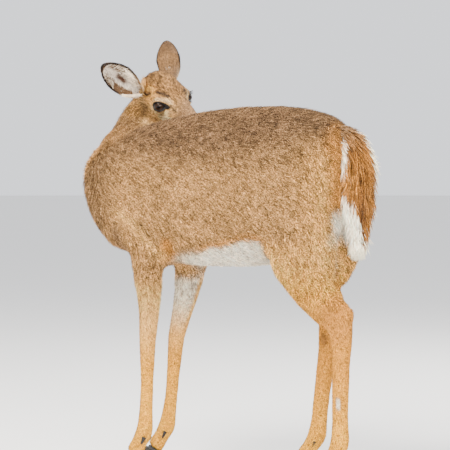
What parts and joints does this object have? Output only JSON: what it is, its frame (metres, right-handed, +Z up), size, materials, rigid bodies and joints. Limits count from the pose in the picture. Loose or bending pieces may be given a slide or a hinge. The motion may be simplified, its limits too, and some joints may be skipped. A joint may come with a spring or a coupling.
{
  "type": "white-tailed deer",
  "caption": "White-tailed deer doe in winter coat, life size, standing on flat hooves and looking back over its withers with the ears turned apart.",
  "frame": {"origin": "middle of the footprint of the whole animal, on the floor under it", "axes": "-Y is where the breast faces, +X is the doe's left side, +Z is up"},
  "size_m": [0.4996, 0.9092, 1.1406],
  "materials": {
    "body_coat": "thick matte winter hair, grey-brown with a fine grizzle",
    "rump_coat": "thick matte winter hair, tan to grey-brown",
    "head_coat": "short matte hair, grizzled grey-brown with tan cheeks",
    "muzzle_coat": "very short dark hair with a damp black nose",
    "chin_coat": "very short white hair",
    "ear_coat": "short grizzled hair outside, long white hair inside",
    "tail_coat": "long hair, brown above with white edges and underside",
    "leg_coat": "short flat tan hair",
    "wet_eye": "wet, clear, dark brown",
    "black_horn": "worn satin horn"
  },
  "bodies": {
    "root": {"barrel": "body_coat", "chest": "body_coat", "neck_base": "body_coat", "neck_middle": "body_coat", "neck_upper": "body_coat", "haunches": "rump_coat", "tail": "tail_coat", "head": "head_coat", "muzzle": "muzzle_coat", "lower_jaw": "chin_coat", "ear_left": "ear_coat", "ear_right": "ear_coat", "eye_left": "wet_eye", "eye_right": "wet_eye", "forearm_fore_left": "leg_coat", "cannon_fore_left": "leg_coat", "pastern_fore_left": "leg_coat", "hoof_fore_left_inner": "black_horn", "dewclaw_fore_left_inner": "black_horn", "hoof_fore_left_outer": "black_horn", "dewclaw_fore_left_outer": "black_horn", "forearm_fore_right": "leg_coat", "cannon_fore_right": "leg_coat", "pastern_fore_right": "leg_coat", "hoof_fore_right_inner": "black_horn", "dewclaw_fore_right_inner": "black_horn", "hoof_fore_right_outer": "black_horn", "dewclaw_fore_right_outer": "black_horn", "thigh_hind_left": "rump_coat", "shank_hind_left": "leg_coat", "cannon_hind_left": "leg_coat", "pastern_hind_left": "leg_coat", "hoof_hind_left_inner": "black_horn", "dewclaw_hind_left_inner": "black_horn", "hoof_hind_left_outer": "black_horn", "dewclaw_hind_left_outer": "black_horn", "thigh_hind_right": "rump_coat", "shank_hind_right": "leg_coat", "cannon_hind_right": "leg_coat", "pastern_hind_right": "leg_coat", "hoof_hind_right_inner": "black_horn", "dewclaw_hind_right_inner": "black_horn", "hoof_hind_right_outer": "black_horn", "dewclaw_hind_right_outer": "black_horn"}
  },
  "joints": []
}
